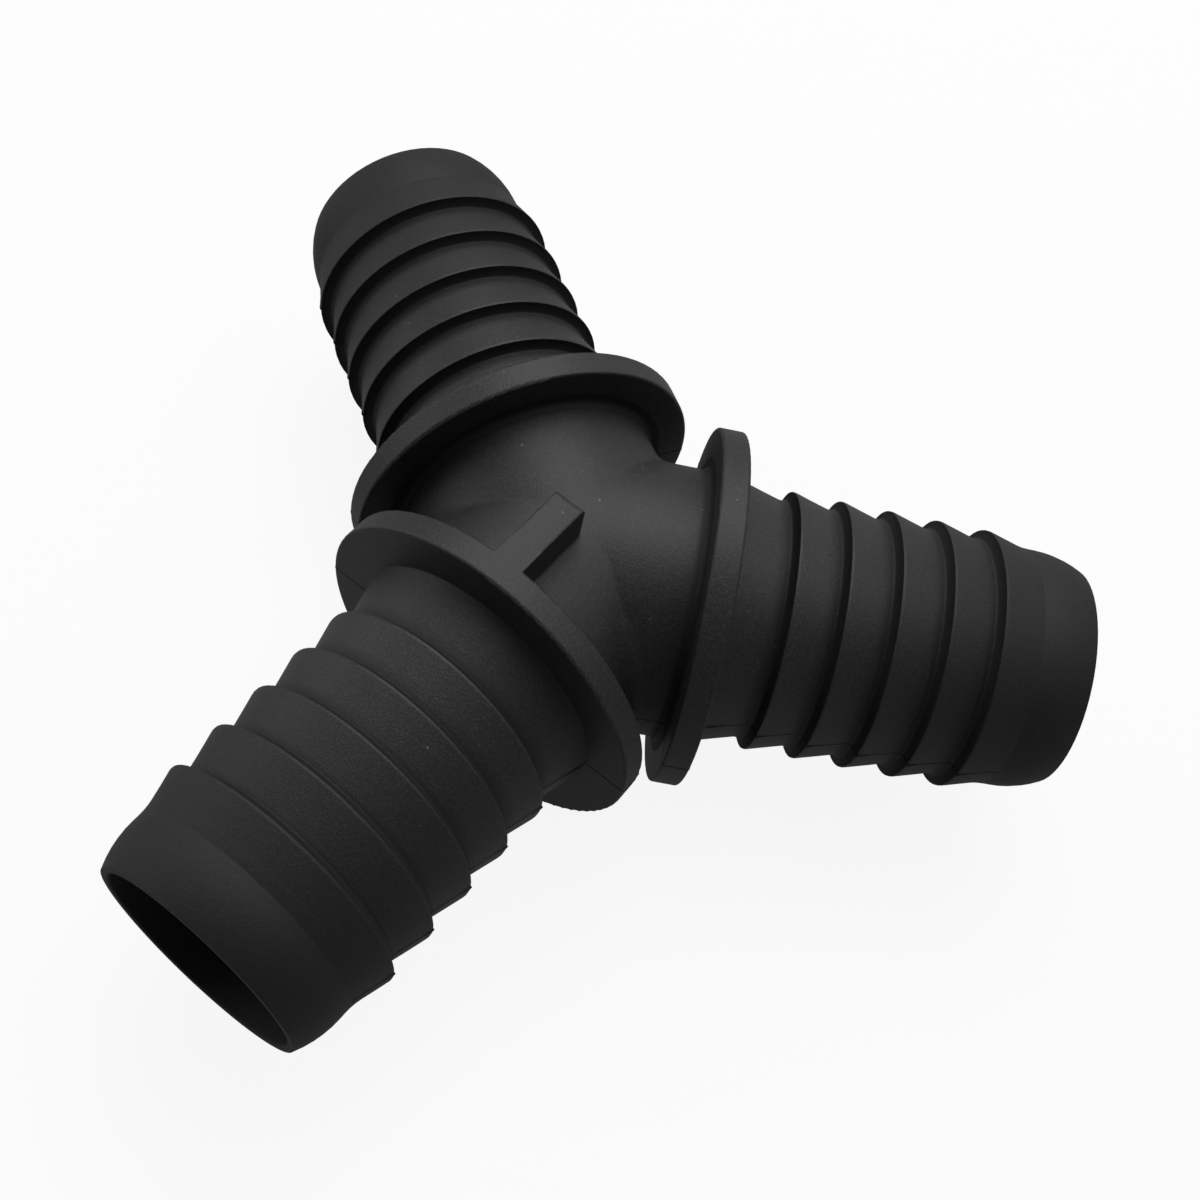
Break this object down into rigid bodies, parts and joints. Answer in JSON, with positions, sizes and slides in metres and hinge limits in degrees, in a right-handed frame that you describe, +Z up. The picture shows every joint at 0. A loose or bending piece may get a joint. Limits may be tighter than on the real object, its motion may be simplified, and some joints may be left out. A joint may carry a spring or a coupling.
{
  "type": "three-way barbed hose connector",
  "caption": "Three-way coolant hose connector moulded in one piece: equal barbed spigots with round stop collars leave a smooth hub in one plane.",
  "frame": {"origin": "where the three bores' axes meet, in the middle plane of the part", "axes": "+Z up, square to the plane of the three spigots and on the rib's side; -Y along the spigot with the rib, from the hub to its mouth; +X to the right of it"},
  "size_m": [0.1236, 0.107, 0.0454],
  "materials": {
    "nylon": "fine matte mould grain, black glass-filled nylon"
  },
  "bodies": {
    "root": {"y_connector": "nylon"}
  },
  "joints": []
}
